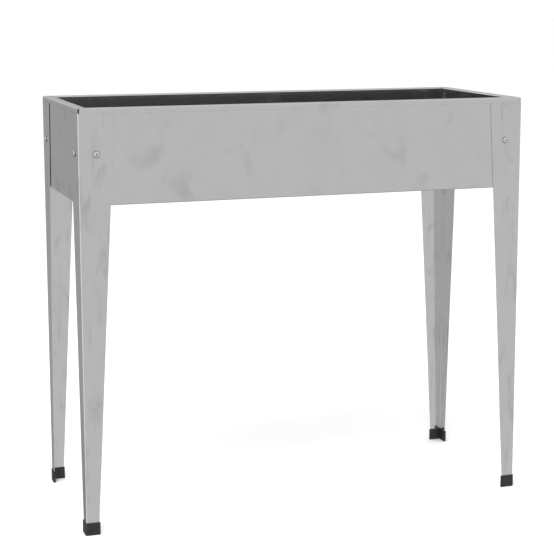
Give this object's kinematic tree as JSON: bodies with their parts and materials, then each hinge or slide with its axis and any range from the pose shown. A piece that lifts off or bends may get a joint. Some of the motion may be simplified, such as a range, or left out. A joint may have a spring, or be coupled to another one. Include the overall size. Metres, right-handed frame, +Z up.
{
  "type": "raised planter on legs",
  "caption": "Open rectangular sheet-metal planter box with a folded rim, bolted inside tapered angle legs with plastic foot caps, for growing plants at waist height.",
  "frame": {"origin": "on the floor, midway between the four legs", "axes": "+X along the planter's length, +Y from its front to its back, +Z up"},
  "size_m": [1.0076, 0.4076, 0.9],
  "materials": {
    "panel_sheet": "smooth galvanised, satin, faint clouding",
    "leg_sheet": "smooth galvanised, satin, faint upright streaks",
    "base_sheet": "smooth galvanised, satin",
    "fasteners": "zinc plated, semi-bright",
    "foot_caps": "moulded black, satin"
  },
  "bodies": {
    "root": {"front_panel": "panel_sheet", "back_panel": "panel_sheet", "left_panel": "panel_sheet", "right_panel": "panel_sheet", "base_panel": "base_sheet", "base_brace_left": "base_sheet", "base_brace_right": "base_sheet", "base_bolts": "fasteners", "base_nuts": "fasteners", "leg_front_left": "leg_sheet", "leg_front_right": "leg_sheet", "leg_back_left": "leg_sheet", "leg_back_right": "leg_sheet", "foot_cap_front_left": "foot_caps", "foot_cap_front_right": "foot_caps", "foot_cap_back_left": "foot_caps", "foot_cap_back_right": "foot_caps", "leg_bolts_front_left": "fasteners", "leg_bolts_front_right": "fasteners", "leg_bolts_back_left": "fasteners", "leg_bolts_back_right": "fasteners", "leg_nuts_front_left": "fasteners", "leg_nuts_front_right": "fasteners", "leg_nuts_back_left": "fasteners", "leg_nuts_back_right": "fasteners"}
  },
  "joints": []
}
